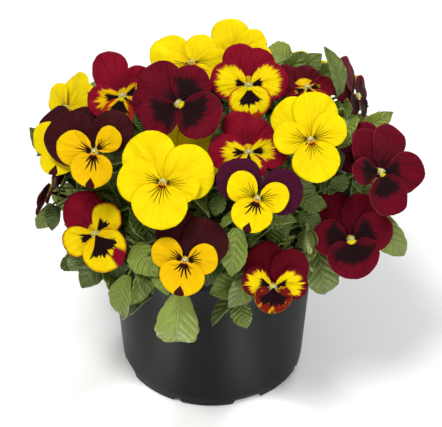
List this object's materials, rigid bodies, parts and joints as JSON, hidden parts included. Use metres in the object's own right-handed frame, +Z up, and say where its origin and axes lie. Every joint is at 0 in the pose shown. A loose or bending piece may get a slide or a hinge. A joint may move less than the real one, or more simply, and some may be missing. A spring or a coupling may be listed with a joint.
{
  "type": "potted horned violet",
  "caption": "Horned violet in bloom in a round black nursery pot: a dome of yellow, dark red and two-coloured five-petalled flowers over scalloped green leaves, on drain notches.",
  "frame": {"origin": "centre of the pot's flat underside, on the pot's axis", "axes": "+Z up along the pot's axis, -Y towards the side that the picture shows"},
  "size_m": [0.1865, 0.1805, 0.1897],
  "materials": {
    "pot_black": "satin black moulded plastic",
    "soil": "dark damp peat",
    "green": "fresh green leaf and stem",
    "yellow": "clear yellow petal",
    "golden": "golden yellow petal with dark lines or blotches",
    "maroon": "velvety dark maroon petal",
    "dark_red": "velvety dark red petal with a black blotch",
    "crimson": "crimson petal"
  },
  "bodies": {
    "root": {"pot": "pot_black", "soil": "soil", "bloom_maroon_gold_left_back": "maroon", "bloom_maroon_gold_left_front": "golden", "bloom_maroon_gold_far_left_back": "maroon", "bloom_maroon_gold_far_left_front": "golden", "bloom_yellow_left_back": "yellow", "bloom_maroon_side_left_back": "maroon", "bloom_maroon_side_left_front": "golden", "bloom_painted_low_left_back": "crimson", "bloom_painted_low_left_front": "golden", "bloom_yellow_front": "yellow", "bloom_yellow_behind_front": "yellow", "bloom_red_top": "dark_red", "bloom_painted_top_left_back": "crimson", "bloom_painted_top_left_front": "golden", "bloom_yellow_top": "yellow", "bloom_yellow_crest": "yellow", "bloom_painted_top_back": "crimson", "bloom_painted_top_front": "golden", "bloom_painted_top_right_back": "crimson", "bloom_painted_top_right_front": "golden", "bloom_yellow_right": "yellow", "bloom_painted_middle_back": "crimson", "bloom_painted_middle_front": "golden", "bloom_plum_gold_middle_back": "maroon", "bloom_plum_gold_middle_front": "golden", "bloom_maroon_gold_front_back": "maroon", "bloom_maroon_gold_front_front": "golden", "bloom_painted_low_right_back": "crimson", "bloom_painted_low_right_front": "golden", "bloom_red_right": "dark_red", "bloom_red_far_right": "dark_red", "bloom_red_behind_right": "dark_red", "bloom_red_side_right": "dark_red", "bloom_yellow_rear_right": "yellow", "bloom_red_rear": "dark_red", "bloom_yellow_rear": "yellow", "bloom_maroon_gold_rear_back": "maroon", "bloom_maroon_gold_rear_front": "golden", "bloom_red_rear_left": "dark_red", "stem_front_left": "green", "stem_front_right": "green", "stem_right": "green", "stem_far_right": "green", "stem_left": "green", "stem_far_left": "green", "stem_upper_left": "green", "stem_middle": "green", "stem_right_middle": "green", "stem_upper_right": "green", "stem_left_back": "green", "stem_right_back": "green", "stem_rear": "green", "stem_rear_left": "green", "stem_low_left": "green", "stem_low_right": "green", "stem_low_rear": "green"}
  },
  "joints": []
}
